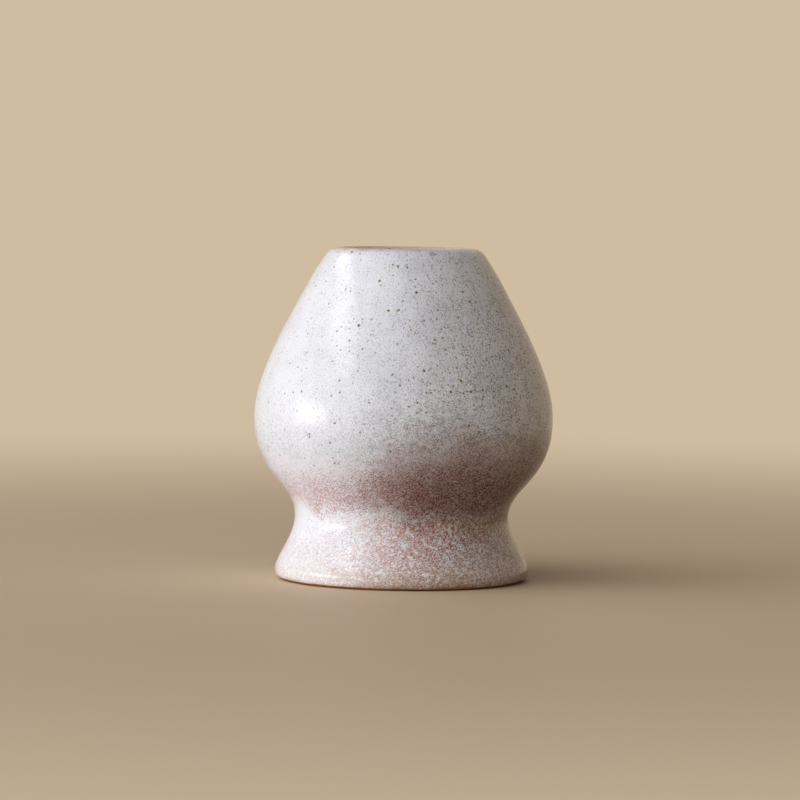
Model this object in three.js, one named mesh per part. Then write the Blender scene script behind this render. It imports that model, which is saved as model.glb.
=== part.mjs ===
// Tea whisk holder: a hollow stoneware form, turned or cast in one piece, open at the lip and at the foot,
// with a glaze over the outside and a liner glaze in the bore. The foot ring stays bare clay.
// Millimetres, +Z up. The origin is on the axis, on the plane that the foot ring stands on.

import * as THREE from 'three';

// Outline of the finished outside, each height measured from the table.
const HEIGHT = 70;
const FOOT_RADIUS = 26.76;
const FOOT_BULGE_HEIGHT = 2.15;
const FOOT_CORNER_WIDTH = 2.37;
const WAIST_RADIUS = 22.52;
const WAIST_HEIGHT = 13.3;
const BELLY_RADIUS = 31.49;
const BELLY_HEIGHT = 33.95;
const SHOULDER_RADIUS = 16.82;
const SHOULDER_LEAN = THREE.MathUtils.degToRad(31.5);
const LIP_ROUND = 3.4;

// How far each curve keeps its end direction, as a share of the height that the curve climbs.
const FLARE_FOOT_SHARE = 0.21;
const FLARE_WAIST_SHARE = 0.375;
const LOWER_BELLY_WAIST_SHARE = 0.33;
const LOWER_BELLY_TOP_SHARE = 0.6;
const UPPER_BELLY_START_SHARE = 0.125;
const UPPER_BELLY_SHOULDER_SHARE = 0.775;

// Wall with its glaze on both faces, the lip's level crest, and the foot ring from its corner to the bore.
const WALL_THICKNESS = 3.8;
const LIP_CREST_WIDTH = 0.25;
const FOOT_RING_WIDTH = 4.4;
const FOOT_RING_ROUND = 0.7;
const BORE_FLARE_SHARE = 0.45;

// Glaze coats, the clearance that they keep from the clay and from each other, and where they stop.
const GLAZE_THICKNESS = 0.31;
const GLAZE_CLEARANCE = 0.04;
const OUTER_GLAZE_LINE_HEIGHT = 0.5;
const LINER_GLAZE_LINE_HEIGHT = 3;

// Facets round the axis and along each stretch of the outline.
const TURN_STEPS = 64;
const CORNER_STEPS = 3;
const FLARE_STEPS = 5;
const LOWER_BELLY_STEPS = 7;
const UPPER_BELLY_STEPS = 6;
const LIP_STEPS = 4;
const BORE_STEPS = 3;

// Points of an outline nearer than this are one point.
const SAME_POINT = 1e-6;

const CLAY_INSET = GLAZE_THICKNESS + GLAZE_CLEARANCE;
const QUARTER_TURN = Math.PI / 2;

const UP = new THREE.Vector2(0, 1);
const shoulderUp = new THREE.Vector2(-Math.sin(SHOULDER_LEAN), Math.cos(SHOULDER_LEAN));
const shoulderOut = new THREE.Vector2(Math.cos(SHOULDER_LEAN), Math.sin(SHOULDER_LEAN));

// The lip's round meets the straight shoulder at SHOULDER_RADIUS and the level crest at HEIGHT.
const lipCentre = new THREE.Vector2(SHOULDER_RADIUS - LIP_ROUND * shoulderOut.x, HEIGHT - LIP_ROUND);
const shoulderTop = lipCentre.clone().addScaledVector(shoulderOut, LIP_ROUND);

// The mouth's round fills what the wall leaves between the crest and the inner face of the shoulder.
const mouthRound = (
  WALL_THICKNESS - LIP_ROUND * (1 - shoulderOut.y) - LIP_CREST_WIDTH * shoulderOut.x
) / (1 + shoulderOut.y);
const mouthCentre = new THREE.Vector2(lipCentre.x - LIP_CREST_WIDTH, HEIGHT - mouthRound);

// A curve from one point to another that keeps a direction for a share of the climb at either end.
function sweep(start, startDirection, startShare, end, endDirection, endShare) {
  const climb = Math.abs(end.y - start.y);
  const startHandle = start.clone().addScaledVector(startDirection, startShare * climb);
  const endHandle = end.clone().addScaledVector(endDirection, -endShare * climb);
  return new THREE.CubicBezierCurve(start, startHandle, endHandle, end);
}

const foot = new THREE.Vector2(FOOT_RADIUS, FOOT_BULGE_HEIGHT);
const waist = new THREE.Vector2(WAIST_RADIUS, WAIST_HEIGHT);
const belly = new THREE.Vector2(BELLY_RADIUS, BELLY_HEIGHT);
const flare = sweep(foot, UP, FLARE_FOOT_SHARE, waist, UP, FLARE_WAIST_SHARE);
const lowerBelly = sweep(waist, UP, LOWER_BELLY_WAIST_SHARE, belly, UP, LOWER_BELLY_TOP_SHARE);
const upperBelly = sweep(
  belly, UP, UPPER_BELLY_START_SHARE, shoulderTop, shoulderUp, UPPER_BELLY_SHOULDER_SHARE,
);

// The bore narrows with the waist and runs out to the opening inside the foot ring.
const DOWN = UP.clone().negate();
const footCentreRadius = FOOT_RADIUS - FOOT_CORNER_WIDTH;
const innerWaist = new THREE.Vector2(WAIST_RADIUS - WALL_THICKNESS, WAIST_HEIGHT);
const footOpening = new THREE.Vector2(footCentreRadius - FOOT_RING_WIDTH, FOOT_RING_ROUND);
const bore = sweep(innerWaist, DOWN, BORE_FLARE_SHARE, footOpening, DOWN, BORE_FLARE_SHARE);

// Points along a curve, moved to its left by inset. Up the outside and down the bore, left is into the wall.
function follow(curve, steps, inset) {
  const points = [];
  for (let step = 0; step <= steps; step += 1) {
    const along = curve.getTangent(step / steps);
    points.push(curve.getPoint(step / steps).add(new THREE.Vector2(-along.y, along.x).multiplyScalar(inset)));
  }
  return points;
}

function arc(centre, widthRadius, heightRadius, startAngle, endAngle, steps) {
  const curve = new THREE.EllipseCurve(centre.x, centre.y, widthRadius, heightRadius, startAngle, endAngle);
  return curve.getPoints(steps);
}

// The rounded corner under the foot's bulge, from a height above the table up to the bulge.
function footCorner(startHeight, inset) {
  const centre = new THREE.Vector2(footCentreRadius, FOOT_BULGE_HEIGHT);
  const startAngle = Math.asin(startHeight / FOOT_BULGE_HEIGHT - 1);
  return arc(centre, FOOT_CORNER_WIDTH - inset, FOOT_BULGE_HEIGHT, startAngle, 0, CORNER_STEPS);
}

// The outside from the foot's corner up to the level crest of the lip.
function outside(startHeight, inset) {
  return [
    ...footCorner(startHeight, inset),
    ...follow(flare, FLARE_STEPS, inset),
    ...follow(lowerBelly, LOWER_BELLY_STEPS, inset),
    ...follow(upperBelly, UPPER_BELLY_STEPS, inset),
    ...arc(lipCentre, LIP_ROUND - inset, LIP_ROUND - inset, SHOULDER_LEAN, QUARTER_TURN, LIP_STEPS),
  ];
}

// The inside from the crest down to the waist, one wall in from the outside.
function inside(inset) {
  const mouthRadius = mouthRound - inset;
  const depth = WALL_THICKNESS - inset;
  return [
    ...arc(mouthCentre, mouthRadius, mouthRadius, QUARTER_TURN, Math.PI + SHOULDER_LEAN, LIP_STEPS),
    ...follow(upperBelly, UPPER_BELLY_STEPS, depth).reverse(),
    ...follow(lowerBelly, LOWER_BELLY_STEPS, depth).reverse(),
  ];
}

// The bore below the waist, down to a height above the table.
function boreDownTo(height, inset) {
  const points = follow(bore, BORE_STEPS, inset);
  const above = points.filter((point) => point.y > height);
  const next = points[above.length];
  if (!next) return above;
  const last = above[above.length - 1];
  const share = (last.y - height) / (last.y - next.y);
  return [...above, last.clone().lerp(next, share)];
}

// Turns a closed outline round the axis. Where two stretches of it share a point, the point is taken once.
function turned(outline, name, material) {
  const isNew = (point, index) => index === 0 || point.distanceTo(outline[index - 1]) > SAME_POINT;
  const points = outline.filter(isNew);
  const geometry = new THREE.LatheGeometry([...points, points[0]], TURN_STEPS);
  geometry.rotateX(QUARTER_TURN);
  const mesh = new THREE.Mesh(geometry, material);
  mesh.name = name;
  return mesh;
}

const bareClay = new THREE.MeshStandardMaterial({ color: 0xb98a63, roughness: 0.85, metalness: 0 });
const speckledGlaze = new THREE.MeshStandardMaterial({ color: 0xd6d3d4, roughness: 0.18, metalness: 0 });
const linerGlaze = new THREE.MeshStandardMaterial({ color: 0xcfc2bc, roughness: 0.22, metalness: 0 });

function stonewareBody() {
  const ringCentre = new THREE.Vector2(footOpening.x + CLAY_INSET + FOOT_RING_ROUND, FOOT_RING_ROUND);
  const outline = [
    ...outside(0, CLAY_INSET),
    ...inside(CLAY_INSET),
    ...follow(bore, BORE_STEPS, CLAY_INSET),
    ...arc(ringCentre, FOOT_RING_ROUND, FOOT_RING_ROUND, Math.PI, Math.PI + QUARTER_TURN, BORE_STEPS),
  ];
  return turned(outline, 'stoneware_body', bareClay);
}

function outerGlaze() {
  const crestEnd = mouthCentre.x + GLAZE_CLEARANCE;
  const outline = [
    ...outside(OUTER_GLAZE_LINE_HEIGHT, 0),
    new THREE.Vector2(crestEnd, HEIGHT),
    new THREE.Vector2(crestEnd, HEIGHT - GLAZE_THICKNESS),
    ...outside(OUTER_GLAZE_LINE_HEIGHT, GLAZE_THICKNESS).reverse(),
  ];
  return turned(outline, 'outer_glaze', speckledGlaze);
}

function linerGlazeCoat() {
  const outline = [
    ...inside(0),
    ...boreDownTo(LINER_GLAZE_LINE_HEIGHT, 0),
    ...boreDownTo(LINER_GLAZE_LINE_HEIGHT, GLAZE_THICKNESS).reverse(),
    ...inside(GLAZE_THICKNESS).reverse(),
  ];
  return turned(outline, 'liner_glaze', linerGlaze);
}

const teaWhiskHolder = new THREE.Group();
teaWhiskHolder.name = 'tea_whisk_holder';
teaWhiskHolder.add(stonewareBody(), outerGlaze(), linerGlazeCoat());

export default teaWhiskHolder;
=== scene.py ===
"""Dresses the tea whisk holder.

It makes fine turned surfaces for the clay and its two glaze coats, their finishes, and the stage. It is
laid out as a Blender add-on and run as a script. Lengths are in metres, and the holder stands on z = 0.
"""

import math

import bpy
import numpy as np
from mathutils import Matrix, Vector


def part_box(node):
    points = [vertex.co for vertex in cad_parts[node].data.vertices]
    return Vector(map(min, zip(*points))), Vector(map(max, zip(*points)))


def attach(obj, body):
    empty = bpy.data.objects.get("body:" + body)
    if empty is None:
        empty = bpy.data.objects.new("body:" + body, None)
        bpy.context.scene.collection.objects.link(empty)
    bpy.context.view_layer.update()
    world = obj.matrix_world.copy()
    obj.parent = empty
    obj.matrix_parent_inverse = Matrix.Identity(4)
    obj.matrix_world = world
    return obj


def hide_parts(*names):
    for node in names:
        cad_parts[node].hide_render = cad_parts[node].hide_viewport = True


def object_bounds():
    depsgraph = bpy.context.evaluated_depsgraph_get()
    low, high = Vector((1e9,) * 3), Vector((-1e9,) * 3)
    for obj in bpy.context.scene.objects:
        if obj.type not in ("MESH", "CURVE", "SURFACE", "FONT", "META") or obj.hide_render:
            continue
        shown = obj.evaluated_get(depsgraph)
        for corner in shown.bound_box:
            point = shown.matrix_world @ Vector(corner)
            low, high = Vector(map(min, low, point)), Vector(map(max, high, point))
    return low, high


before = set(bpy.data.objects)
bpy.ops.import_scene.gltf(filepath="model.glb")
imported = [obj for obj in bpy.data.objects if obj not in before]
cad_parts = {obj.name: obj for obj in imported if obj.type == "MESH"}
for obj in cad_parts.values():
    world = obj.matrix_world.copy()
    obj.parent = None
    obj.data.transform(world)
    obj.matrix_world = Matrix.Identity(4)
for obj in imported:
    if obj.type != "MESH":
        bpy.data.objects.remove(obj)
CAD_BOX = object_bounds()

bl_info = {
    "name": "Tea Whisk Holder",
    "version": (1, 0, 0),
    "blender": (4, 5, 0),
    "location": "View3D > Sidebar > Whisk Holder",
    "description": "Dresses a glazed stoneware tea whisk holder and sets a plain stage for it",
    "category": "Add Mesh",
}

MILLIMETRE = 0.001
CLAY_NODE = "stoneware_body"
OUTER_NODE = "outer_glaze"
LINER_NODE = "liner_glaze"
CLAY_SLOT = "bare_stoneware"
OUTER_SLOT = "speckled_glaze"
LINER_SLOT = "liner_glaze"

HOLDER_HEIGHT = CAD_BOX[1].z
GLAZE_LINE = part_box(OUTER_NODE)[0].z
LINER_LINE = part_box(LINER_NODE)[0].z


def display(red, green, blue):
    """The linear colour of a display colour given as 0 to 255, with full alpha."""
    shares = np.array([red, green, blue]) / 255
    linear = np.where(shares <= 0.04045, shares / 12.92, ((shares + 0.055) / 1.055) ** 2.4)
    return (*linear.tolist(), 1.0)


def colour_setting(name, description, red, green, blue):
    """A colour that the sidebar shows, given as a display colour."""
    return bpy.props.FloatVectorProperty(
        name=name,
        description=description,
        default=display(red, green, blue),
        size=4,
        min=0,
        max=1,
        subtype="COLOR",
    )


def length_setting(name, description, millimetres):
    """A length that the sidebar shows, given in millimetres and kept in metres."""
    return bpy.props.FloatProperty(
        name=name,
        description=description,
        default=millimetres * MILLIMETRE,
        precision=6,
        subtype="DISTANCE",
        unit="LENGTH",
    )


class HolderForm(bpy.types.PropertyGroup):
    """How far the thrown and glazed form departs from a perfect turning."""

    out_of_round: length_setting("Out of Round", "How far the wall leans in where it is flattest", 0.06)
    waist_drift: length_setting("Waist Drift", "How far the waist sits off the axis", 0.2)
    glaze_ripple: length_setting("Glaze Ripple", "Height of the slow waves in the glaze", 0.012)
    glaze_roll: length_setting("Glaze Roll", "How far the glaze swells above the foot line", 0.09)
    line_waver: length_setting("Line Waver", "How far the foot line of the glaze wanders up and down", 0.05)
    crest_dip: length_setting("Crest Dip", "How far the lip's crest sinks where it is lowest", 0.03)
    edge_round: length_setting("Edge Round", "Length over which sharp edges are softened", 0.22)
    crest_round: length_setting("Crest Round", "The same where the two glazes meet on the lip's crest", 0.06)
    crest_lap: length_setting("Crest Lap", "How far the liner runs on under the outer glaze's crest", 0.3)
    turning_groove: length_setting("Turning Groove", "Depth of the turning marks on the bare foot ring", 0.03)


class HolderFinish(bpy.types.PropertyGroup):
    """Colours and grain sizes of the clay and the glazes."""

    milk: colour_setting("Milk Glaze", "Palest glaze", 232, 235, 243)
    mist: colour_setting("Mist Glaze", "Cool grey clouds in the glaze", 203, 207, 218)
    ash: colour_setting("Ash Grain", "Fine dark grain in the glaze", 105, 107, 113)
    # Grain colour where thin is high: on the outside that is painted shade towards +X.
    thin_and_shade_umber: colour_setting("Umber Grain", "Fine grain where the glaze runs thin", 96, 70, 56)
    olive: colour_setting("Olive Fleck", "Small iron flecks and the rim of large ones", 148, 117, 28)
    iron: colour_setting("Iron Spot", "Middle of the iron spots", 46, 30, 9)
    rust: colour_setting("Rust Vein", "Veins of the lower belly, where the glaze runs thin", 101, 46, 23)
    # Painted shade: darker copies of the blush veins, used towards +X.
    walnut: colour_setting("Walnut Vein", "Veins of the foot on its shaded side", 102, 50, 22)
    # Rose ground towards +X on the lower belly is painted shade; the bore's rosier glaze below the lip is the
    # glaze's own.
    rose: colour_setting("Rose Ground", "Ground of the lower belly on its shaded side", 168, 157, 161)
    blush: colour_setting("Blush Vein", "Veins of the foot and the lip", 170, 90, 58)
    tan: colour_setting("Tan Vein", "Veins near the foot line", 164, 126, 98)
    # Where thin is high on the outside, this tone is painted shade.
    sand: colour_setting("Sand Edge", "Tan ground where the glaze runs thin", 198, 174, 144)
    slate: colour_setting("Slate Blue", "Blue pools under the lip", 112, 132, 170)
    frost: colour_setting("Frost", "Blue-white flecks at the waist and on the foot", 230, 236, 245)
    lilac: colour_setting("Lilac Ground", "Ground of the lower belly on its lit side", 231, 230, 243)
    clay: colour_setting("Bare Clay", "Fired clay without glaze", 222, 158, 88)
    toast: colour_setting("Toasted Clay", "Clay that the fire has browned", 128, 78, 42)
    # Painted shade colour for the clay's lowest edge.
    edge_shade: colour_setting("Sooty Clay", "Clay at the very edge that stood in the kiln", 62, 38, 24)
    grain_size: length_setting("Grain Size", "Size of the finest grain in the glaze", 0.26)
    fleck_spacing: length_setting("Fleck Spacing", "Mean distance between places for a small fleck", 0.88)
    spot_spacing: length_setting("Spot Spacing", "Mean distance between places for a large spot", 1.9)
    vein_size: length_setting("Vein Size", "Size of the veins on the foot and the band", 0.235)


class HolderStage(bpy.types.PropertyGroup):
    """Camera, backdrop and floor."""

    camera_distance: length_setting("Camera Distance", "From the holder's axis to the lens", 889)
    camera_height: length_setting("Camera Height", "Lens above the floor", 88.5)
    camera_dip: bpy.props.FloatProperty(
        name="Camera Dip",
        description="How far the camera looks down",
        default=math.radians(3.26),
        subtype="ANGLE",
        unit="ROTATION",
    )
    camera_roll: bpy.props.FloatProperty(
        name="Camera Roll",
        description="How far the camera is turned about its line of sight",
        default=math.radians(0.775),
        subtype="ANGLE",
        unit="ROTATION",
    )
    lens: bpy.props.FloatProperty(
        name="Lens",
        description="Focal length on a 36 mm sensor",
        default=190.0,
        unit="CAMERA",
    )
    backdrop: colour_setting("Backdrop", "Pale colour behind the holder", 208, 188, 161)
    floor: colour_setting("Floor", "Pale colour of the floor", 206, 185, 158)


def settings():
    """The scene's form, finish and stage settings."""
    scene = bpy.context.scene
    return scene.whisk_holder_form, scene.whisk_holder_finish, scene.whisk_holder_stage


# Outlines

# How far off y = 0 an edge still counts, how sharp a turn cuts the loop, and the step of the splines.
AXIS_PLANE_REACH = 2e-6
CORNER_TURN = math.radians(42)
FINE_STEP = 0.02 * MILLIMETRE

# Millimetres below the crest where crest_round starts to take over from edge_round.
CREST_REACH = 2

# Where the liner's lap may start below the crest, the width over which it grows, and how far it sinks.
LAP_DEPTH = 0.4 * MILLIMETRE
LAP_GROWTH = 0.15 * MILLIMETRE
LAP_SINK = 0.005 * MILLIMETRE

# How the rows are shared out along a loop, and how many points to each side give its direction.
COARSE_SHARE = 0.12
BEND_LENGTH = 1.0 * MILLIMETRE
OUTWARD_REACH = 6

# Share of the radius that counts as height where the crest's outer or inner end is looked for.
CREST_TILT = 0.01


def loop_start(outline):
    """The outline's lowest point, or the widest of them."""
    return int(np.lexsort((-outline[:, 0], outline[:, 1].round(6)))[0])


def cad_outline(node):
    """The closed outline of a turned solid, as rows of radius and height.

    These are the solid's edges that lie in the half-plane y = 0, x > 0, walked as one loop. It starts at the
    lowest and widest point, climbs the side away from the axis and comes down the side that faces the axis.
    """
    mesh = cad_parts[node].data
    places = np.empty(len(mesh.vertices) * 3)
    mesh.vertices.foreach_get("co", places)
    places = places.reshape(-1, 3)
    triangles = np.empty(len(mesh.loop_triangles) * 3, int)
    mesh.loop_triangles.foreach_get("vertices", triangles)
    edges = triangles.reshape(-1, 3)[:, [0, 1, 1, 2, 2, 0]].reshape(-1, 2)
    in_plane = (np.abs(places[:, 1]) < AXIS_PLANE_REACH) & (places[:, 0] > 0)
    edges = edges[in_plane[edges].all(axis=1)]
    ends = places[edges.ravel()][:, [0, 2]].round(7)
    corners, corner_of_end = np.unique(ends, axis=0, return_inverse=True)
    edges = np.unique(np.sort(corner_of_end.reshape(-1, 2), axis=1), axis=0)
    edges = edges[edges[:, 0] != edges[:, 1]]
    start = loop_start(corners)
    neighbours = {i: [] for i in range(len(corners))}
    for first, second in edges.tolist():
        neighbours[first].append(second)
        neighbours[second].append(first)
    walked = [start, max(neighbours[start], key=lambda i: corners[i, 1])]
    while len(walked) < len(corners):
        walked.append(next(i for i in neighbours[walked[-1]] if i != walked[-2]))
    return corners[walked]


def natural_spline(points, step):
    """A natural cubic spline through the points, by distance along them, in steps of about that length."""
    along = np.append(0, np.cumsum(np.hypot(*np.diff(points, axis=0).T)))
    gaps = np.diff(along)
    count = len(points)
    inner = np.arange(1, count - 1)
    system = np.eye(count)
    system[inner, inner - 1] = gaps[:-1]
    system[inner, inner] = 2 * (gaps[:-1] + gaps[1:])
    system[inner, inner + 1] = gaps[1:]
    bends = np.zeros((count, 2))
    bends[1:-1] = 6 * np.diff(np.diff(points, axis=0) / gaps[:, None], axis=0)
    bends = np.linalg.solve(system, bends)
    at = np.linspace(0, along[-1], max(2, math.ceil(along[-1] / step) + 1))
    left = np.clip(np.searchsorted(along, at, side="right") - 1, 0, count - 2)
    gap = gaps[left][:, None]
    after = (at - along[left])[:, None] / gap
    before = 1 - after
    curved = (before**3 - before) * bends[left] + (after**3 - after) * bends[left + 1]
    return before * points[left] + after * points[left + 1] + curved * gap**2 / 6


def moving_mean(loop, length):
    """The closed loop with each point moved to the mean of the stretch of that length round it."""
    width = max(3, round(length / FINE_STEP)) | 1
    wrapped = np.concatenate([loop[-(width // 2):], loop, loop[:width // 2]])
    kernel = np.full(width, 1 / width)
    return np.stack([np.convolve(wrapped[:, k], kernel, mode="valid") for k in (0, 1)], axis=1)


def smooth_outline(node, form):
    """The node's outline with a spline through its points and its sharp corners softened.

    The loop is cut where it turns sharply, each stretch becomes a spline, and a moving mean runs round the
    whole loop. It is as long as edge_round, or crest_round on the lip's crest, and moves only what bends
    tightly.
    """
    points = cad_outline(node)
    ahead = np.roll(points, -1, axis=0) - points
    behind = points - np.roll(points, 1, axis=0)
    crossed = behind[:, 0] * ahead[:, 1] - behind[:, 1] * ahead[:, 0]
    turn = np.arctan2(crossed, (behind * ahead).sum(axis=1))
    corners = np.flatnonzero(np.abs(turn) > CORNER_TURN)
    if not len(corners):
        corners = np.array([0])
    stretches = []
    for first, last in zip(corners, np.append(corners[1:], corners[0] + len(points))):
        stretch = points[np.arange(first, last + 1) % len(points)]
        stretches.append(natural_spline(stretch, FINE_STEP)[:-1])
    loop = np.concatenate(stretches)
    loop = np.roll(loop, -loop_start(loop), axis=0)
    on_crest = np.clip((loop[:, 1:] - HOLDER_HEIGHT) / MILLIMETRE + CREST_REACH, 0, 1)
    rounded = moving_mean(loop, form.edge_round)
    rounded_crest = moving_mean(loop, form.crest_round)
    return rounded * (1 - on_crest) + rounded_crest * on_crest


def lapped(loop, form):
    """The liner's loop with its top run outwards by crest_lap and a hair lower, so that no gap shows."""
    top = loop[:, 1] > HOLDER_HEIGHT - LAP_DEPTH
    end = loop[top, 0].max()
    share = np.clip((loop[:, 0] - end) / LAP_GROWTH + 1, 0, 1) * top
    return loop + np.stack([share * form.crest_lap, -share * LAP_SINK], axis=1)


def crest_end(loop, side):
    """The point where the level crest ends, outwards for a side of 1 and towards the axis for -1."""
    return int(np.argmax(loop[:, 1] + side * CREST_TILT * loop[:, 0]))


def rows_of(loop, shown, rows):
    """That many rows spaced round the loop, close where shown is 1 or the loop bends, and wide where it is 0.

    Each bit of the loop counts for its length, times COARSE_SHARE where it is hidden, plus BEND_LENGTH for
    each radian that it bends. The rows lie at equal steps of that count. Gives the rows' radius and height,
    their outward direction and how far each is shown.
    """
    step = np.roll(loop, -1, axis=0) - loop
    length = np.hypot(*step.T)
    heading = np.unwrap(np.arctan2(step[:, 1], step[:, 0]))
    bend = np.abs(np.diff(heading, append=heading[-1]))
    count = length * (COARSE_SHARE + (1 - COARSE_SHARE) * shown) + BEND_LENGTH * bend
    count = np.append(0, np.cumsum(count))
    at = np.linspace(0, count[-1], rows, endpoint=False)
    direction = np.roll(loop, -OUTWARD_REACH, axis=0) - np.roll(loop, OUTWARD_REACH, axis=0)
    direction /= np.hypot(*direction.T)[:, None]
    outward = np.stack([direction[:, 1], -direction[:, 0]], axis=1)

    def at_rows(values):
        """The loop's values at the rows, column by column."""
        closed = np.vstack([values, values[:1]])
        return np.stack([np.interp(at, count, column) for column in closed.T], axis=1)

    return at_rows(loop), at_rows(outward), at_rows(shown[:, None])


# Surfaces

# Points round the axis, the rows of each piece, and where the seam of the map lies.
AROUND = 320
CLAY_ROWS = 210
OUTER_ROWS = 300
LINER_ROWS = 220
SEAM_ANGLE = math.pi / 2

# The waist and the lower belly sit off the axis at these shares of the height, over this spread.
WAIST_HEIGHT_SHARE = 0.19
BELLY_HEIGHT_SHARE = 0.3
DRIFT_SPREAD_SHARE = 0.07

# Share of waist_drift by which the lower belly sits off the axis, the other way.
BELLY_DRIFT_SHARE = 0.5

# Shares of out_of_round that go twice and three times round the axis.
OVAL_SHARE = 0.7
THREE_SIDED_SHARE = 0.3

# Seeds of the waves that shape the surfaces.
RINGS_SEED = 11
GRIT_SEED = 12
OUTER_RIPPLE_SEED = 21
FOOT_LINE_SEED = 22
CREST_SEED = 23
LINER_RIPPLE_SEED = 31
LINER_LINE_SEED = 32


def bump_at(values, centre, spread):
    """A bell of height 1 at the centre, which falls away over the spread."""
    return np.exp(-(((values - centre) / spread) ** 2))


def waves(seed, angle, height, count, turns, shortest, longest):
    """A sum of seeded waves over the surface, between -1 and 1 for most places.

    Each wave is the sine of a whole number of turns round the axis plus a run up the height plus a phase, and
    the sum is divided by the square root of how many there are.
    """
    random = np.random.default_rng(seed)
    total = np.zeros(np.broadcast(angle, height).shape)
    for _ in range(count):
        round_it = random.integers(turns[0], turns[1] + 1) * random.choice([-1, 1])
        up_it = 2 * math.pi / random.uniform(shortest, longest)
        total = total + np.sin(round_it * angle + up_it * height + random.uniform(0, 2 * math.pi))
    return total / math.sqrt(count)


def level_waves(seed, angle, count, turns):
    """The same for one height: the waves only go round the axis."""
    return waves(seed, angle, 0, count, turns, MILLIMETRE, MILLIMETRE)


def flattened(sides, angle, height, phase, twist):
    """A number from 0 to 1 with that many peaks round the axis, which wind round it with the height."""
    return (1 - np.cos(sides * angle + phase + twist * height)) / 2


def thrown(radius, height, angle, form):
    """The place of a point of the turning once the form has been thrown, dried and fired.

    The wall leans in by up to out_of_round, the waist and the lower belly sit slightly off the axis, towards
    -X and towards +X, and the lip's crest dips by about crest_dip.
    """
    oval = flattened(2, angle, height, phase=0.9, twist=12)
    three_sided = flattened(3, angle, height, phase=-0.4, twist=-25)
    radius = radius - form.out_of_round * (OVAL_SHARE * oval + THREE_SIDED_SHARE * three_sided)
    spread = DRIFT_SPREAD_SHARE * HOLDER_HEIGHT
    drift = -bump_at(height, WAIST_HEIGHT_SHARE * HOLDER_HEIGHT, spread)
    drift = drift + BELLY_DRIFT_SHARE * bump_at(height, BELLY_HEIGHT_SHARE * HOLDER_HEIGHT, spread)
    dip = 1 + level_waves(CREST_SEED, angle, 6, (2, 9)) / 2
    height = height - form.crest_dip * bump_at(height, HOLDER_HEIGHT, MILLIMETRE) * dip
    across = radius * np.cos(angle) + form.waist_drift * drift
    return np.stack([across, radius * np.sin(angle), height], axis=-1)


def turned_piece(name, node, loop, shown, rows, relief, material):
    """A closed surface: the loop carried once round the axis, with the relief raised on it.

    Its two parameters are the distance along the loop and the angle round the axis. Both close on themselves,
    so the surface has no pole and no open edge. Its map lays the angle along U and the rows up V. The relief
    takes each place's radius, height and angle and how far it shows, and gives its rise and its lift.
    """
    form = settings()[0]
    places, outward, seen = rows_of(loop, shown, rows)
    angle = SEAM_ANGLE + np.linspace(0, 2 * math.pi, AROUND, endpoint=False)[None]
    radius, height = places[:, :1], places[:, 1:]
    rise, lift = relief(radius, height, angle, seen)
    radius = radius + outward[:, :1] * rise
    height = np.maximum(height + outward[:, 1:] * rise + lift, 0)
    vertices = thrown(radius, height, angle, form).reshape(-1, 3)
    row, column = np.meshgrid(np.arange(rows), np.arange(AROUND), indexing="ij")
    next_row, next_column = (row + 1) % rows, (column + 1) % AROUND
    faces = np.stack(
        [
            row * AROUND + column,
            row * AROUND + next_column,
            next_row * AROUND + next_column,
            next_row * AROUND + column,
        ],
        axis=-1,
    ).reshape(-1, 4)
    mesh = bpy.data.meshes.new(name)
    mesh.from_pydata(vertices.tolist(), [], faces.tolist())
    mesh.polygons.foreach_set("use_smooth", np.ones(len(faces), bool))
    u = np.stack([column, column + 1, column + 1, column], axis=-1) / AROUND
    v = np.stack([row, row, row + 1, row + 1], axis=-1) / rows
    layer = mesh.uv_layers.new(name="OFBake")
    layer.data.foreach_set("uv", np.stack([u, v], axis=-1).astype(np.float32).ravel())
    mesh.validate()
    mesh.update()
    mesh.materials.append(material)
    piece = bpy.data.objects.new(name, mesh)
    bpy.context.scene.collection.objects.link(piece)
    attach(piece, "root")
    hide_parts(node)


# Materials

GLAZE_IOR = 1.5

# How far the coats' lines wander up and down on the wall and on the lip.
LEVEL_WANDER = 2.4 * MILLIMETRE
LIP_WANDER = 0.28 * MILLIMETRE

# Where the iron flecks gather, and where painted shade darkens the front of the belly just below its widest
# point.
FLECKED_PLACE = (0.014, -0.02, 0.053)
FLECKED_REACH = 0.032
SHADE_PLACE = (0.008, -0.03, 0.029)
SHADE_REACH = 0.023

# How far a pattern rises above its level before a stipple is whole.
STIPPLE_EDGE = 0.04


class Nodes:
    """The nodes of a material or of the world. Most methods add a node and give back its output."""

    def __init__(self, tree):
        self.nodes = tree.nodes
        self.links = tree.links

    def feed(self, value, socket):
        """Links an output to a socket, or writes a plain number or colour on it."""
        if isinstance(value, bpy.types.NodeSocket):
            self.links.new(value, socket)
        else:
            socket.default_value = value

    def math(self, operation, first, second):
        """The two values joined by the operation."""
        node = self.nodes.new("ShaderNodeMath")
        node.operation = operation
        self.feed(first, node.inputs[0])
        self.feed(second, node.inputs[1])
        return node.outputs[0]

    def seen(self):
        """1 for what the camera or a reflection sees, and 0 for what only lights."""
        path = self.nodes.new("ShaderNodeLightPath")
        return self.math("MAXIMUM", path.outputs["Is Camera Ray"], path.outputs["Is Glossy Ray"])

    def show(self, share, under, over, output):
        """Feeds the named output with the shader under, covered by the shader over by that share."""
        node = self.nodes.new("ShaderNodeMixShader")
        self.feed(share, node.inputs[0])
        self.feed(under.outputs[0], node.inputs[1])
        self.feed(over.outputs[0], node.inputs[2])
        self.feed(node.outputs[0], self.nodes[output].inputs["Surface"])


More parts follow.
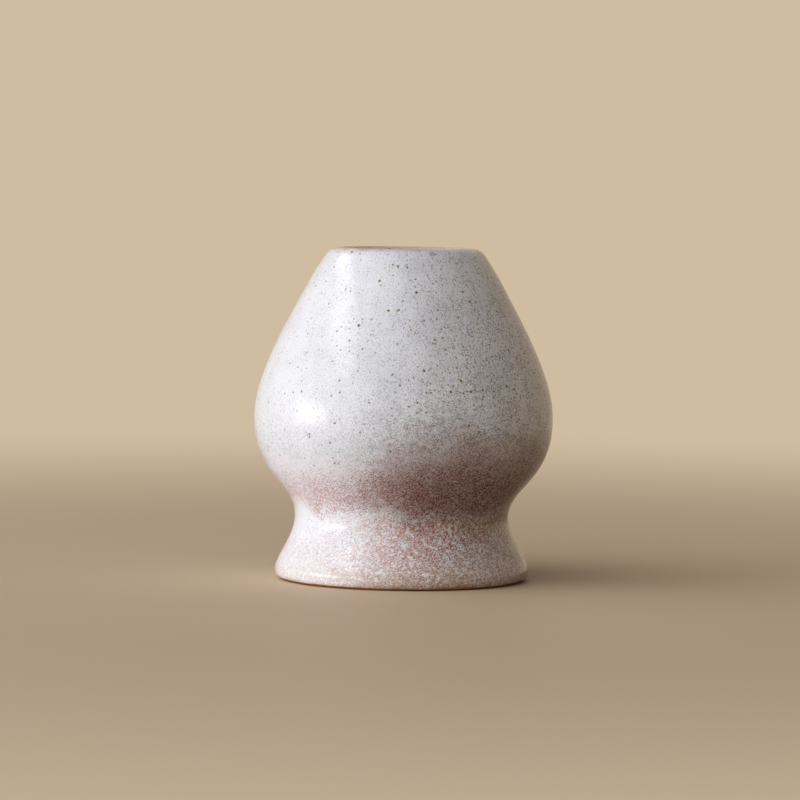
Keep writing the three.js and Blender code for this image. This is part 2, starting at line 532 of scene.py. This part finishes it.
class Recipe(Nodes):
    """One material's nodes, with the place of each point on the holder."""

    def __init__(self, name):
        self.material = bpy.data.materials.new(name)
        self.material.use_nodes = True
        super().__init__(self.material.node_tree)
        self.shader = self.nodes["Principled BSDF"]
        self.place = self.nodes.new("ShaderNodeTexCoord").outputs["Object"]
        split = self.nodes.new("ShaderNodeSeparateXYZ")
        self.links.new(self.place, split.inputs[0])
        self.across, _, self.height = split.outputs

    def noise(self, size, detail=2.0, roughness=0.5, distortion=0.0, at=None):
        """Soft noise whose waves are about the given size, at the place or at the given one."""
        node = self.nodes.new("ShaderNodeTexNoise")
        node.inputs["Scale"].default_value = 1 / size
        node.inputs["Detail"].default_value = detail
        node.inputs["Roughness"].default_value = roughness
        node.inputs["Distortion"].default_value = distortion
        self.feed(self.place if at is None else at, node.inputs["Vector"])
        return node.outputs[0]

    def wound(self, twist, stretch):
        """The place turned back about the axis by the twist for each metre up, with its height pressed.

        A pattern laid on it runs up the wall in slanting strokes, longer than wide by about the stretch.
        """
        node = self.nodes.new("ShaderNodeVectorRotate")
        node.rotation_type = "Z_AXIS"
        self.feed(self.place, node.inputs["Vector"])
        self.feed(self.math("MULTIPLY", self.height, -twist), node.inputs["Angle"])
        pressed = self.nodes.new("ShaderNodeMapping")
        pressed.inputs["Scale"].default_value = (1, 1, 1 / stretch)
        self.feed(node.outputs[0], pressed.inputs["Vector"])
        return pressed.outputs[0]

    def near(self, point, reach):
        """1 at the point, and 0 from the given reach outwards."""
        node = self.nodes.new("ShaderNodeVectorMath")
        node.operation = "DISTANCE"
        self.feed(self.place, node.inputs[0])
        node.inputs[1].default_value = point
        return self.ramp(node.outputs["Value"], 0, reach, 1, 0)

    def cells(self, spacing):
        """Distance to the nearest of a scatter of points, in metres, and that point's two random numbers."""
        node = self.nodes.new("ShaderNodeTexVoronoi")
        node.inputs["Scale"].default_value = 1 / spacing
        self.feed(self.place, node.inputs["Vector"])
        split = self.nodes.new("ShaderNodeSeparateColor")
        self.feed(node.outputs["Color"], split.inputs[0])
        return self.math("MULTIPLY", node.outputs["Distance"], spacing), split.outputs[0], split.outputs[1]

    def ramp(self, value, low, high, start=0.0, end=1.0):
        """A smooth step from start to end as the value goes from low to high."""
        node = self.nodes.new("ShaderNodeMapRange")
        node.interpolation_type = "SMOOTHSTEP"
        names = ("Value", "From Min", "From Max", "To Min", "To Max")
        for name, given in zip(names, (value, low, high, start, end)):
            self.feed(given, node.inputs[name])
        return node.outputs[0]

    def ramp_mm(self, length, low, high, start=0.0, end=1.0):
        """The same for a length, with low and high in millimetres."""
        return self.ramp(length, low * MILLIMETRE, high * MILLIMETRE, start, end)

    def times(self, *values):
        """The values multiplied together."""
        product = values[0]
        for value in values[1:]:
            product = self.math("MULTIPLY", product, value)
        return product

    def mix(self, share, under, over):
        """The colour under, covered by the colour over by that share."""
        node = self.nodes.new("ShaderNodeMix")
        node.data_type = "RGBA"
        self.feed(share, node.inputs[0])
        self.feed(under, node.inputs[6])
        self.feed(over, node.inputs[7])
        return node.outputs[2]

    def bump(self, height, depth, under=None):
        """Raises the surface, or the bumps under it, by the height, a number from 0 to 1, times the depth."""
        node = self.nodes.new("ShaderNodeBump")
        node.inputs["Strength"].default_value = 1.0
        node.inputs["Distance"].default_value = depth
        self.feed(height, node.inputs["Height"])
        if under is not None:
            self.feed(under, node.inputs["Normal"])
        return node.outputs[0]

    def made(self, colour, roughness, normal):
        """The material once these three are fed to its shader."""
        self.feed(colour, self.shader.inputs["Base Color"])
        self.feed(roughness, self.shader.inputs["Roughness"])
        self.feed(normal, self.shader.inputs["Normal"])
        return self.material


def spots(recipe, spacing, share, smallest, largest):
    """Round spots at a share of scattered points.

    Gives how far a place is inside one, how far inside its wider rim, and a random number for each spot.
    """
    distance, chance, size = recipe.cells(spacing)
    kept = recipe.math("LESS_THAN", chance, share)
    radius = recipe.ramp(size, 0, 1, smallest, largest)
    reached = recipe.math("DIVIDE", distance, radius)
    middle = recipe.ramp(reached, 0.5, 1.0, 1, 0)
    rim = recipe.ramp(reached, 0.9, 1.7, 1, 0)
    return recipe.times(middle, kept), recipe.times(rim, kept), size


def sided(recipe, left, right):
    """A number that goes from left to right as the surface goes from -X to +X."""
    return recipe.ramp_mm(recipe.across, -26, 10, left, right)


def stippled(recipe, pattern, dense, rare, close):
    """1 on a noise's peaks that stand above a level, which falls from rare to close as dense rises to 1."""
    level = recipe.ramp(dense, 0, 1, rare, close)
    return recipe.ramp(pattern, level, recipe.math("ADD", level, STIPPLE_EDGE))


def side_shade(recipe):
    """Painted shade by side: a share that grows towards +X, away from the light, and makes the glaze sandier
    and darker there.
    """
    return recipe.ramp_mm(recipe.across, -6, 42, 0.02, 0.5)


def patch_and_threads(recipe, finish):
    """Two noises: one of small patches, and one as fine as the veins."""
    patch = recipe.noise(2.2 * MILLIMETRE, detail=3, roughness=0.6)
    return patch, recipe.noise(finish.vein_size, roughness=0.55, distortion=0.15)


def freckled_ground(recipe, finish, thin, crowd_and_shade):
    """The milk glaze: faint clouds of mist, fine ash grain and darker specks.

    Thin is a number from 0 to 1. Where it is high, the ground is sandier and the grain turns from ash to a
    warmer, darker tone. On the outside thin is painted shade, towards +X and on the lower belly's +X side; in
    the bore it is that same painted shade and thinner glaze below the lip. Crowd is a number from 0 up. To 1,
    the grain grows stronger and clots into small dark patches. Beyond 1, the clots darken further and mist
    gathers. On the outside Crowd is painted shade where it grows towards +X and round SHADE_PLACE.
    """
    cloud = recipe.noise(9 * MILLIMETRE, detail=3, roughness=0.55)
    misty = recipe.times(
        recipe.ramp(cloud, 0.36, 0.7, 0, 0.6),
        sided(recipe, 0.4, 1),
        recipe.ramp_mm(recipe.across, 6, 26, 1, 0.5),
    )
    misty = recipe.math("MAXIMUM", misty, recipe.ramp(crowd_and_shade, 1, 2.4, 0, 0.75))
    ground = recipe.mix(misty, finish.milk, finish.mist)
    # Where thin is high the ground turns sandy and the grain darker; on the outside this is painted shade.
    ground = recipe.mix(recipe.times(thin, 0.85), ground, finish.sand)
    grain_colour = recipe.mix(thin, finish.ash, finish.thin_and_shade_umber)
    amount = recipe.times(
        recipe.ramp(cloud, 0.3, 0.7, 0.8, 1),
        sided(recipe, 0.45, 1),
        recipe.ramp_mm(recipe.height, 50, 62, 1, 0.85),
        recipe.ramp(crowd_and_shade, 0, 1, 1, 1.35),
    )
    clots = recipe.ramp(recipe.noise(1.2 * MILLIMETRE, detail=1), 0.45, 0.7, 0, 0.24)
    ground = recipe.mix(recipe.times(clots, crowd_and_shade, sided(recipe, 0.3, 1)), ground, grain_colour)
    grain = recipe.noise(finish.grain_size, roughness=0.6, distortion=0.2)
    ground = recipe.mix(recipe.times(recipe.ramp(grain, 0.42, 0.72), amount, 0.56), ground, grain_colour)
    specks = recipe.noise(1.2 * finish.grain_size, detail=1, at=recipe.wound(-22, 1.1))
    dense = recipe.math("ADD", recipe.noise(2.5 * MILLIMETRE), recipe.times(thin, 0.24))
    dense = recipe.ramp(dense, 0.3, 0.9)
    share = recipe.ramp_mm(recipe.across, 0, 20, 0.68, 1.12)
    peppered = recipe.ramp(dense, 0.1, 0.8, 0.1, 0.8)
    pepper, _, _ = spots(recipe, 0.4 * MILLIMETRE, peppered, 0.09 * MILLIMETRE, 0.16 * MILLIMETRE)
    specks = recipe.math("MAXIMUM", stippled(recipe, specks, dense, 0.66, 0.555), pepper)
    return recipe.mix(recipe.times(specks, amount, share), ground, grain_colour)


def iron_flecks(recipe, finish, coat, strength):
    """Small flecks from olive to iron, and larger iron spots with an olive rim, thickest at FLECKED_PLACE."""
    flecked = recipe.near(FLECKED_PLACE, FLECKED_REACH)
    share = recipe.ramp(flecked, 0, 1, 0.18, 0.9)
    fleck, rim, chance = spots(recipe, finish.fleck_spacing, share, 0.12 * MILLIMETRE, 0.23 * MILLIMETRE)
    coat = recipe.mix(recipe.times(rim, strength, 0.4), coat, finish.olive)
    fleck_colour = recipe.mix(recipe.ramp(chance, 0.45, 1, 0, 0.8), finish.olive, finish.iron)
    coat = recipe.mix(recipe.times(fleck, strength, 0.9), coat, fleck_colour)
    share = recipe.ramp(flecked, 0, 1, 0.16, 0.4)
    spot, rim, _ = spots(recipe, finish.spot_spacing, share, 0.15 * MILLIMETRE, 0.27 * MILLIMETRE)
    coat = recipe.mix(recipe.times(rim, strength, 0.7), coat, finish.olive)
    return recipe.mix(recipe.times(spot, strength), coat, finish.iron)


def rusted_belly(recipe, level):
    """How far a place is in the lower belly's rusted band, which is narrower and weaker at the left."""
    start = sided(recipe, 10.5 * MILLIMETRE, 10 * MILLIMETRE)
    fade_start = sided(recipe, 16 * MILLIMETRE, 19 * MILLIMETRE)
    fade_end = sided(recipe, 29 * MILLIMETRE, 38 * MILLIMETRE)
    return recipe.times(
        recipe.ramp(level, start, 19 * MILLIMETRE), recipe.ramp(level, fade_start, fade_end, 1, 0)
    )


def lower_coat(recipe, finish, coat, level, patch, threads):
    """The coat from the lower belly down, under a close net of rust, blush and tan veins.

    The belly's ground goes from lilac at the left to rose at the right, and the rose is painted shade. The
    veins are strongest in the rusted band, end above it, thin out at the waist and close up again on the
    foot, which is sandy near its line and at the right. Towards +X they darken to walnut, which is also
    painted shade.
    Frost flakes lie over the waist and the foot.
    """
    rusted = rusted_belly(recipe, level)
    foot = recipe.ramp_mm(level, 8, 15, 1, 0)
    low = recipe.times(recipe.ramp_mm(recipe.height, 0.5, 6, 0.6, 0), sided(recipe, 0.2, 1))
    sandy = recipe.math("MAXIMUM", low, recipe.ramp_mm(recipe.across, 8, 26, 0, 0.4))
    coat = recipe.mix(recipe.times(foot, 0.8), coat, recipe.mix(sandy, finish.milk, finish.sand))
    clean = recipe.times(
        recipe.ramp_mm(level, 9, 15),
        recipe.ramp_mm(level, 20, 29, 1, 0),
        recipe.ramp_mm(recipe.across, -16, 5, 0.9, 0),
    )
    pale = recipe.mix(recipe.ramp_mm(level, 14, 20), finish.milk, finish.lilac)
    coat = recipe.mix(clean, coat, pale)
    # Painted shade: on the lower belly the ground turns rose, darker, towards +X, away from the light.
    shade = recipe.times(
        recipe.ramp_mm(level, 12, 18),
        recipe.ramp(level, 21 * MILLIMETRE, sided(recipe, 28 * MILLIMETRE, 37 * MILLIMETRE), 1, 0),
    )
    rose_shade = recipe.times(shade, recipe.ramp_mm(recipe.across, -14, 5, 0.02, 0.95))
    coat = recipe.mix(rose_shade, coat, finish.rose)

    slanting = recipe.wound(70, 1.5)
    strokes = recipe.noise(1.1 * finish.vein_size, roughness=0.55, distortion=0.15, at=slanting)
    net = recipe.math("MAXIMUM", recipe.math("SUBTRACT", strokes, 0.02), threads)
    closer = recipe.ramp(patch, 0.3, 0.66, 0.72, 1)
    in_band = recipe.times(rusted, closer, sided(recipe, 0.85, 1))
    in_foot = recipe.times(
        recipe.ramp_mm(level, 13, 19, 1, 0),
        recipe.ramp_mm(recipe.height, 7, 11, 1, sided(recipe, 0.5, 1)),
        closer,
        sided(recipe, 0.8, 1),
        recipe.ramp_mm(recipe.across, 4, 20, 1, 0.88),
    )
    veins = stippled(recipe, net, recipe.math("MAXIMUM", in_band, in_foot), 0.65, 0.484)
    # Painted shade: from about the middle towards +X the veins darken to walnut, away from the light.
    vein_shade = recipe.ramp_mm(recipe.across, -4, 16, 0, 0.85)
    vein_colour = recipe.mix(vein_shade, finish.blush, finish.walnut)
    rusty = recipe.times(recipe.ramp(rusted, 0.1, 0.7), sided(recipe, 0.1, 1))
    vein_colour = recipe.mix(rusty, vein_colour, finish.rust)
    vein_colour = recipe.mix(recipe.ramp_mm(recipe.height, 2, 9, 0.7, 0), vein_colour, finish.tan)
    strength = recipe.ramp_mm(level, 12, 18, sided(recipe, 0.34, 0.92), sided(recipe, 0.63, 1))
    veined = recipe.ramp_mm(level, 30, 40, 1, 0)
    coat = recipe.mix(recipe.times(veins, strength, veined), coat, vein_colour)

    flakes = recipe.noise(0.8 * MILLIMETRE, detail=1, distortion=0.15)
    frosted = recipe.times(
        recipe.ramp(recipe.math("ADD", flakes, recipe.times(patch, 0.2)), 0.65, 0.77),
        recipe.ramp_mm(level, 9, 20, 1, 0),
        recipe.ramp_mm(recipe.across, 2, 18, 0.65, 0.36),
    )
    return recipe.mix(frosted, coat, finish.frost)


def thin_lip(recipe, finish, coat, patch, threads, depth):
    """Tan and blush stain on the edge of the lip, down to the depth, fading towards +X."""
    edge = recipe.ramp(patch, 0.2, 0.8, -LIP_WANDER, LIP_WANDER)
    below = recipe.math("SUBTRACT", HOLDER_HEIGHT, recipe.math("ADD", recipe.height, edge))
    fading = recipe.ramp_mm(recipe.across, 1, 8, 1, 0.4)
    line = recipe.times(recipe.ramp(below, 0.05 * depth, depth, 1, 0), fading)
    coat = recipe.mix(recipe.times(line, 0.5), coat, finish.sand)
    return recipe.mix(recipe.times(line, recipe.ramp(threads, 0.42, 0.58, 0.08, 0.42)), coat, finish.blush)


def pooled_lip(recipe, finish, coat):
    """Blue pools of glaze just below the lip."""
    below = recipe.math("SUBTRACT", HOLDER_HEIGHT, recipe.height)
    pool = recipe.times(
        recipe.ramp_mm(below, 0.3, 0.7),
        recipe.ramp_mm(below, 0.9, 1.7, 1, 0),
        recipe.ramp(recipe.noise(1.8 * MILLIMETRE, detail=3, roughness=0.6), 0.56, 0.64),
    )
    return recipe.mix(recipe.times(pool, 0.6), coat, finish.slate)


def glaze_material(finish):
    """The outside: freckled milk, rusted lower belly, frosted waist, blushing foot and stained lip."""
    recipe = Recipe(OUTER_SLOT)
    waver = recipe.noise(9 * MILLIMETRE, detail=4, roughness=0.6)
    patch, threads = patch_and_threads(recipe, finish)
    wander = recipe.ramp(waver, 0.2, 0.8, -LEVEL_WANDER, LEVEL_WANDER)
    level = recipe.math("ADD", recipe.height, wander)
    # Painted shade: thin grows towards +X and, below about 38 mm, on the lower belly's +X side, away from the
    # light.
    low = recipe.times(recipe.ramp_mm(level, 24, 38, 1, 0), recipe.ramp_mm(recipe.across, -12, 18))
    thin = recipe.math("MAXIMUM", side_shade(recipe), low)
    # Painted shade: the grain gathers and darkens towards +X and round SHADE_PLACE, where mist gathers too.
    side_crowd_shade = recipe.ramp_mm(recipe.across, 4, 22, 0, 0.6)
    crowd_and_shade = recipe.math("MAXIMUM", recipe.ramp_mm(level, 27, 42, 1, 0), side_crowd_shade)
    painted_shade = recipe.near(SHADE_PLACE, SHADE_REACH)
    crowd_and_shade = recipe.math("ADD", crowd_and_shade, recipe.times(painted_shade, 1.4))
    coat = freckled_ground(recipe, finish, thin, crowd_and_shade)
    coat = lower_coat(recipe, finish, coat, level, patch, threads)
    coat = iron_flecks(recipe, finish, coat, recipe.ramp_mm(level, 14, 26, 0.25, 1))
    coat = pooled_lip(recipe, finish, coat)
    coat = thin_lip(recipe, finish, coat, patch, threads, 0.7 * MILLIMETRE)

    recipe.shader.inputs["IOR"].default_value = GLAZE_IOR
    roughness = recipe.ramp_mm(recipe.height, 3, 8, 0.16, 0.2)
    slow = recipe.bump(recipe.noise(2.4 * MILLIMETRE), 0.012 * MILLIMETRE)
    pinhole, _, _ = spots(recipe, 2.7 * MILLIMETRE, 0.3, 0.14 * MILLIMETRE, 0.24 * MILLIMETRE)
    pitted = recipe.bump(recipe.math("SUBTRACT", 1, pinhole), 0.05 * MILLIMETRE, under=slow)
    peel = recipe.bump(recipe.noise(0.45 * MILLIMETRE), 0.0018 * MILLIMETRE, under=pitted)
    return recipe.made(coat, roughness, peel)


def liner_material(finish):
    """The bore: the milk glaze, thinner and rosier below the lip, stained on it and sandy along its line."""
    recipe = Recipe(LINER_SLOT)
    cloud = recipe.noise(7 * MILLIMETRE, detail=3, roughness=0.6)
    inner = recipe.ramp(recipe.height, HOLDER_HEIGHT - 4 * MILLIMETRE, HOLDER_HEIGHT, 1, 0)
    # The side share is the same painted shade, towards +X, as on the outside.
    thin = recipe.math("MAXIMUM", side_shade(recipe), recipe.times(inner, 0.4))
    coat = freckled_ground(recipe, finish, thin, 0.3)
    coat = recipe.mix(recipe.times(inner, recipe.ramp(cloud, 0.35, 0.7, 0.1, 0.4)), coat, finish.rose)
    line = recipe.ramp(recipe.height, LINER_LINE, LINER_LINE + 2.5 * MILLIMETRE, 0.6, 0)
    coat = recipe.mix(line, coat, finish.sand)
    coat = iron_flecks(recipe, finish, coat, recipe.ramp(inner, 0, 1, 1, 0.8))
    patch, threads = patch_and_threads(recipe, finish)
    coat = thin_lip(recipe, finish, coat, patch, threads, 1.6 * MILLIMETRE)
    recipe.shader.inputs["IOR"].default_value = GLAZE_IOR
    slow = recipe.bump(recipe.noise(2.6 * MILLIMETRE), 0.015 * MILLIMETRE)
    return recipe.made(coat, recipe.ramp(cloud, 0.3, 0.7, 0.17, 0.24), slow)


def clay_material(finish):
    """Sandy clay, browned in clouds, with iron specks, and painted shade darkening its lowest edge towards
    +X.
    """
    recipe = Recipe(CLAY_SLOT)
    flame = recipe.noise(8 * MILLIMETRE, detail=4, roughness=0.6)
    ground = recipe.mix(recipe.ramp(flame, 0.35, 0.7, 0, 0.45), finish.clay, finish.toast)
    sand = recipe.noise(0.35 * MILLIMETRE, detail=3, roughness=0.7)
    ground = recipe.mix(recipe.ramp(sand, 0.5, 0.75, 0, 0.5), ground, finish.toast)
    # Painted shade: the lowest 0.4 mm of clay darkens, none at the left and most towards +X, away from the
    # light.
    edge = recipe.ramp_mm(recipe.height, 0.03, 0.4, 1, 0)
    turned_in = recipe.ramp_mm(recipe.height, 0, 0.03)
    shaded = recipe.ramp_mm(recipe.across, -20, 4, 0, 0.75)
    ground = recipe.mix(recipe.times(edge, turned_in, shaded), ground, finish.edge_shade)
    spot, _, _ = spots(recipe, 1.2 * MILLIMETRE, 0.4, 0.08 * MILLIMETRE, 0.2 * MILLIMETRE)
    ground = recipe.mix(recipe.times(spot, 0.8), ground, finish.iron)
    return recipe.made(ground, recipe.ramp(sand, 0.3, 0.7, 0.7, 0.9), recipe.bump(sand, 0.05 * MILLIMETRE))


# Floor and light

# The floor turns into the backdrop between these distances from the axis.
FLOOR_FADE_START = 0.12
FLOOR_FADE_END = 0.5
FLOOR_RADIUS = 4.0
FLOOR_STEPS = 96

# The glow's middle, in degrees, how tightly it gathers there, and the even light that goes with it.
GLOW_AZIMUTH = 43
GLOW_ELEVATION = 21
GLOW_POWER = 3
GLOW_STRENGTH = 2.0
GLOW_COLOUR = (0.985, 1.0, 1.035, 1.0)
EVEN_COLOUR = (1.0, 0.86, 0.7, 1.0)
EVEN_STRENGTH = 0.09

# The bounce card lies just above the glaze line, so that it lights no bare clay.
CARD_HEIGHT = GLAZE_LINE + 0.1 * MILLIMETRE

# Sideways shift of the picture, as a share of the sensor's width.
CAMERA_SHIFT = -0.0048


def bearing(azimuth, elevation):
    """The direction at an azimuth to the left of the camera's and at an elevation, both in degrees."""
    side, rise = math.radians(azimuth), math.radians(elevation)
    return Vector((-math.sin(side) * math.cos(rise), -math.cos(side) * math.cos(rise), math.sin(rise)))


def panel_light(name, place, back, width, height, radiance, mirrored):
    """A soft panel at the place that shines away from its back, and shows in the glaze if mirrored."""
    light = bpy.data.lights.new(name, "AREA")
    light.shape = "RECTANGLE"
    light.size = width
    light.size_y = height
    light.energy = radiance * math.pi * width * height
    lamp = bpy.data.objects.new(name, light)
    bpy.context.scene.collection.objects.link(lamp)
    lamp.location = place
    lamp.rotation_euler = back.to_track_quat("Z", "Y").to_euler()
    lamp.visible_camera = False
    lamp.visible_glossy = mirrored


def standing_panel(name, azimuth, elevation, distance, width, height, radiance, mirrored=True):
    """A panel that faces the holder's middle, with its long side level."""
    back = bearing(azimuth, elevation)
    place = Vector((0, 0, HOLDER_HEIGHT / 2)) + distance * back
    panel_light(name, place, back, width, height, radiance, mirrored)


def bounce_card(name, azimuth, distance, width, height, radiance):
    """A level panel that shines up from just above the glaze line, as a card on a table does."""
    place = distance * bearing(azimuth, 0) + Vector((0, 0, CARD_HEIGHT))
    panel_light(name, place, Vector((0, 0, -1)), width, height, radiance, mirrored=False)


def floor_material(stage):
    """A pale floor that takes the holder's shadow and turns into the backdrop's colour further out."""
    recipe = Recipe("pale_floor")
    recipe.shader.inputs["Base Color"].default_value = stage.floor
    recipe.shader.inputs["Roughness"].default_value = 0.6
    recipe.shader.inputs["Specular IOR Level"].default_value = 0.2
    length = recipe.nodes.new("ShaderNodeVectorMath")
    length.operation = "LENGTH"
    recipe.feed(recipe.place, length.inputs[0])
    far = recipe.ramp(length.outputs["Value"], FLOOR_FADE_START, FLOOR_FADE_END)
    glow = recipe.nodes.new("ShaderNodeEmission")
    glow.inputs["Color"].default_value = stage.backdrop
    recipe.show(recipe.times(far, recipe.seen()), recipe.shader, glow, "Material Output")
    return recipe.material


def world_light(stage):
    """The backdrop's colour where the world is seen, and a soft glow from the left where it only lights.

    The glow is a lobe plus even light. The lobe is the cosine of the angle to its middle, raised to a power.
    """
    world = bpy.data.worlds.new("studio")
    bpy.context.scene.world = world
    world.use_nodes = True
    tree = Nodes(world.node_tree)

    toward = tree.nodes.new("ShaderNodeVectorMath")
    toward.operation = "DOT_PRODUCT"
    tree.feed(tree.nodes.new("ShaderNodeTexCoord").outputs["Generated"], toward.inputs[0])
    toward.inputs[1].default_value = bearing(GLOW_AZIMUTH, GLOW_ELEVATION)
    facing = tree.math("MAXIMUM", toward.outputs["Value"], 0)
    lobe = tree.math("MULTIPLY", tree.math("POWER", facing, GLOW_POWER), GLOW_STRENGTH)

    glow = tree.nodes["Background"]
    glow.inputs["Color"].default_value = GLOW_COLOUR
    tree.feed(lobe, glow.inputs["Strength"])
    even = tree.nodes.new("ShaderNodeBackground")
    even.inputs["Color"].default_value = EVEN_COLOUR
    even.inputs["Strength"].default_value = EVEN_STRENGTH
    both = tree.nodes.new("ShaderNodeAddShader")
    tree.feed(glow.outputs[0], both.inputs[0])
    tree.feed(even.outputs[0], both.inputs[1])
    backdrop = tree.nodes.new("ShaderNodeBackground")
    backdrop.inputs["Color"].default_value = stage.backdrop
    tree.show(tree.seen(), both, backdrop, "World Output")


# Operators, one for each piece and one for the stage


class OBJECT_OT_whisk_holder_clay(bpy.types.Operator):
    """Make the stoneware body, which shows at the foot ring"""

    bl_idname = "object.whisk_holder_clay"
    bl_label = "Stoneware Body"

    def execute(self, context):
        form, finish, _ = settings()
        loop = smooth_outline(CLAY_NODE, form)
        shown = 1.0 * (loop[:, 1] < LINER_LINE + MILLIMETRE)

        def relief(radius, height, angle, seen):
            """Turning marks: rings that follow the radius, and a little grit."""
            rings = waves(RINGS_SEED, angle, radius, 6, (0, 2), 0.35 * MILLIMETRE, 0.9 * MILLIMETRE)
            place = radius + height
            grit = waves(GRIT_SEED, angle, place, 12, (40, 90), 0.8 * MILLIMETRE, 2 * MILLIMETRE)
            near_floor = bump_at(height, 0, 0.5 * MILLIMETRE)
            depth = form.turning_groove * seen
            return -depth * (0.25 + 0.15 * rings + 0.1 * grit) * near_floor, 0

        material = clay_material(finish)
        turned_piece("clay_foot_and_wall", CLAY_NODE, loop, shown, CLAY_ROWS, relief, material)
        return {"FINISHED"}


class OBJECT_OT_whisk_holder_outer_glaze(bpy.types.Operator):
    """Make the speckled glaze over the outside"""

    bl_idname = "object.whisk_holder_outer_glaze"
    bl_label = "Outer Glaze"

    def execute(self, context):
        form, finish, _ = settings()
        loop = smooth_outline(OUTER_NODE, form)
        shown = 1.0 * (np.arange(len(loop)) <= crest_end(loop, -1))

        def relief(radius, height, angle, seen):
            """Slow waves in the glaze, a roll above the foot line, and a line that wanders up and down."""
            slow = waves(OUTER_RIPPLE_SEED, angle, height, 40, (3, 34), 5 * MILLIMETRE, 22 * MILLIMETRE)
            above = height - GLAZE_LINE
            roll = form.glaze_roll * bump_at(above, 0.6 * MILLIMETRE, 0.6 * MILLIMETRE)
            fade = np.exp(-above / (1.2 * MILLIMETRE))
            waver = form.line_waver * level_waves(FOOT_LINE_SEED, angle, 9, (2, 31))
            level = 1 - bump_at(height, HOLDER_HEIGHT, MILLIMETRE)
            return seen * (form.glaze_ripple * slow + roll) * level, waver * fade

        material = glaze_material(finish)
        turned_piece("speckled_glaze_coat", OUTER_NODE, loop, shown, OUTER_ROWS, relief, material)
        return {"FINISHED"}


class OBJECT_OT_whisk_holder_liner_glaze(bpy.types.Operator):
    """Make the glaze that lines the bore"""

    bl_idname = "object.whisk_holder_liner_glaze"
    bl_label = "Liner Glaze"

    def execute(self, context):
        form, finish, _ = settings()
        loop = lapped(smooth_outline(LINER_NODE, form), form)
        shown = 1.0 * (np.arange(len(loop)) >= crest_end(loop, 1))

        def relief(radius, height, angle, seen):
            """Slow waves in the glaze, and a lower line that wanders up and down."""
            slow = waves(LINER_RIPPLE_SEED, angle, height, 30, (2, 20), 6 * MILLIMETRE, 25 * MILLIMETRE)
            fade = np.exp(-(height - LINER_LINE) / (1.5 * MILLIMETRE))
            waver = 2 * form.line_waver * level_waves(LINER_LINE_SEED, angle, 7, (2, 17))
            level = 1 - bump_at(height, HOLDER_HEIGHT, MILLIMETRE)
            return seen * form.glaze_ripple * slow * level, np.maximum(waver, 0) * fade

        material = liner_material(finish)
        turned_piece("liner_glaze_coat", LINER_NODE, loop, shown, LINER_ROWS, relief, material)
        return {"FINISHED"}


class SCENE_OT_whisk_holder_stage(bpy.types.Operator):
    """Set a plain pale floor and backdrop, soft light from the left, and the camera"""

    bl_idname = "scene.whisk_holder_stage"
    bl_label = "Stage"

    def execute(self, context):
        stage = settings()[2]
        scene = context.scene
        scene.view_settings.view_transform = "Standard"

        angle = np.linspace(0, 2 * math.pi, FLOOR_STEPS, endpoint=False)
        rim = np.stack([FLOOR_RADIUS * np.cos(angle), FLOOR_RADIUS * np.sin(angle), 0 * angle], axis=-1)
        mesh = bpy.data.meshes.new("pale_floor")
        mesh.from_pydata(rim.tolist(), [], [list(range(FLOOR_STEPS))])
        mesh.materials.append(floor_material(stage))
        floor = bpy.data.objects.new("pale_floor", mesh)
        scene.collection.objects.link(floor)

        world_light(stage)
        standing_panel("window_panel", 75.5, 4.0, distance=0.75, width=0.37, height=0.23, radiance=5.0)
        standing_panel("level_strip", 89, 42.5, distance=0.8, width=1.0, height=0.11, radiance=3.8)
        standing_panel("low_fill", 74, 1, 0.7, width=0.8, height=0.14, radiance=1.0, mirrored=False)
        bounce_card("floor_card", 72, distance=0.115, width=0.2, height=0.2, radiance=0.32)

        camera = bpy.data.objects.new("camera", bpy.data.cameras.new("camera"))
        scene.collection.objects.link(camera)
        camera.data.lens = stage.lens
        camera.data.shift_x = CAMERA_SHIFT
        camera.data.clip_start = 0.01
        camera.data.clip_end = 20
        camera.matrix_world = (
            Matrix.Translation((0, -stage.camera_distance, stage.camera_height))
            @ Matrix.Rotation(math.pi / 2 - stage.camera_dip, 4, "X")
            @ Matrix.Rotation(stage.camera_roll, 4, "Z")
        )
        scene.camera = camera
        return {"FINISHED"}


class VIEW3D_PT_whisk_holder(bpy.types.Panel):
    """Sidebar panel with the holder's pieces and settings"""

    bl_label = "Whisk Holder"
    bl_idname = "VIEW3D_PT_whisk_holder"
    bl_space_type = "VIEW_3D"
    bl_region_type = "UI"
    bl_category = "Whisk Holder"

    def draw(self, context):
        layout = self.layout
        for operator in OPERATORS:
            layout.operator(operator.bl_idname)
        for group in settings():
            box = layout.box()
            for name in group.bl_rna.properties.keys():
                if name not in ("rna_type", "name"):
                    box.prop(group, name)


OPERATORS = (
    OBJECT_OT_whisk_holder_clay,
    OBJECT_OT_whisk_holder_outer_glaze,
    OBJECT_OT_whisk_holder_liner_glaze,
    SCENE_OT_whisk_holder_stage,
)
SETTING_GROUPS = (HolderForm, HolderFinish, HolderStage)
CLASSES = (*SETTING_GROUPS, *OPERATORS, VIEW3D_PT_whisk_holder)


def register():
    for each in CLASSES:
        bpy.utils.register_class(each)
    bpy.types.Scene.whisk_holder_form = bpy.props.PointerProperty(type=HolderForm)
    bpy.types.Scene.whisk_holder_finish = bpy.props.PointerProperty(type=HolderFinish)
    bpy.types.Scene.whisk_holder_stage = bpy.props.PointerProperty(type=HolderStage)


def unregister():
    del bpy.types.Scene.whisk_holder_stage
    del bpy.types.Scene.whisk_holder_finish
    del bpy.types.Scene.whisk_holder_form
    for each in reversed(CLASSES):
        bpy.utils.unregister_class(each)


def main():
    register()
    bpy.ops.scene.whisk_holder_stage()
    bpy.ops.object.whisk_holder_clay()
    bpy.ops.object.whisk_holder_outer_glaze()
    bpy.ops.object.whisk_holder_liner_glaze()


if __name__ == "__main__":
    main()
